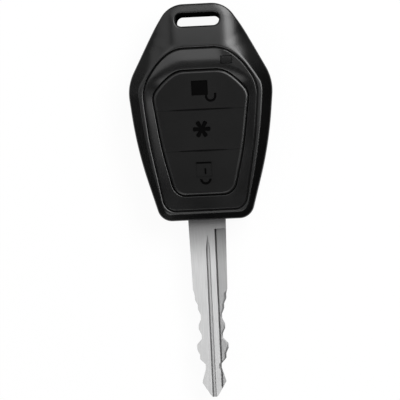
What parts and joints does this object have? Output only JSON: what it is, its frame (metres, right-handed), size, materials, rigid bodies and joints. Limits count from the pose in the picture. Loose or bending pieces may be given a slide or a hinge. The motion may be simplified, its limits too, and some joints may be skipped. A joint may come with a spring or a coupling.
{
  "type": "car key",
  "caption": "Tapered remote-head car key with press buttons set in a smoked bezel, a slot for a key ring and a fixed double-edged steel blade.",
  "frame": {"origin": "on the surface that the key lies on, below the middle of its overall length and width", "axes": "+Z out of the button face, +Y from the blade towards the key-ring slot, +X to the right seen from the front"},
  "size_m": [0.036, 0.0986, 0.0122],
  "materials": {
    "shell_plastic": "satin moulded black",
    "bezel_smoke": "smoked and polished",
    "window_smoke": "dark and polished",
    "seal_rubber": "matt",
    "screw_steel": "zinc plated",
    "button_rubber": "soft matt",
    "mat_silicone": "matt",
    "board_laminate": "solder mask over glass laminate",
    "switch_housing": "moulded",
    "stem_plastic": "moulded",
    "lamp_resin": "clear resin on a white body",
    "chip_resin": "moulded",
    "can_steel": "drawn",
    "antenna_ferrite": "wound with lacquered wire",
    "chip_ceramic": "fired",
    "cell_steel": "bright",
    "spring_steel": "bright",
    "contact_brass": "bright",
    "capsule_glass": "clear",
    "blade_steel": "satin nickel"
  },
  "bodies": {
    "case": {"front_shell": "shell_plastic", "rear_shell": "shell_plastic", "bezel_frame": "bezel_smoke", "light_window": "window_smoke", "seam_gasket": "seal_rubber", "case_screws": "screw_steel", "keymat": "mat_silicone", "circuit_board": "board_laminate", "unlock_switch": "switch_housing", "star_switch": "switch_housing", "lock_switch": "switch_housing", "status_light": "lamp_resin", "microcontroller": "chip_resin", "radio_chip": "chip_resin", "crystal_can": "can_steel", "antenna_block": "antenna_ferrite", "chip_parts": "chip_ceramic", "coin_cell": "cell_steel", "battery_clip": "spring_steel", "battery_contact": "contact_brass", "transponder_capsule": "capsule_glass", "key_blade": "blade_steel", "blade_pin": "spring_steel"},
    "unlock_key": {"unlock_button": "button_rubber"},
    "star_key": {"star_button": "button_rubber"},
    "lock_key": {"lock_button": "button_rubber"},
    "unlock_plunger": {"unlock_stem": "stem_plastic"},
    "star_plunger": {"star_stem": "stem_plastic"},
    "lock_plunger": {"lock_stem": "stem_plastic"}
  },
  "joints": [
    {"name": "unlock_press", "type": "slide", "parent": "case", "child": "unlock_key", "axis": [0, 0, -1], "range_m": [0, 0.0006], "stiffness_N_per_m": 1500, "deforming": ["keymat"]},
    {"name": "star_press", "type": "slide", "parent": "case", "child": "star_key", "axis": [0, 0, -1], "range_m": [0, 0.0006], "stiffness_N_per_m": 1500, "deforming": ["keymat"]},
    {"name": "lock_press", "type": "slide", "parent": "case", "child": "lock_key", "axis": [0, 0, -1], "range_m": [0, 0.0006], "stiffness_N_per_m": 1500, "deforming": ["keymat"]},
    {"name": "unlock_stem_press", "type": "slide", "parent": "case", "child": "unlock_plunger", "axis": [0, 0, -1], "range_m": [0, 0.0003]},
    {"name": "star_stem_press", "type": "slide", "parent": "case", "child": "star_plunger", "axis": [0, 0, -1], "range_m": [0, 0.0003]},
    {"name": "lock_stem_press", "type": "slide", "parent": "case", "child": "lock_plunger", "axis": [0, 0, -1], "range_m": [0, 0.0003]}
  ],
  "couplings": [
    {"joint": "unlock_stem_press", "follows": "unlock_press", "ratio": 0.5},
    {"joint": "star_stem_press", "follows": "star_press", "ratio": 0.5},
    {"joint": "lock_stem_press", "follows": "lock_press", "ratio": 0.5}
  ]
}
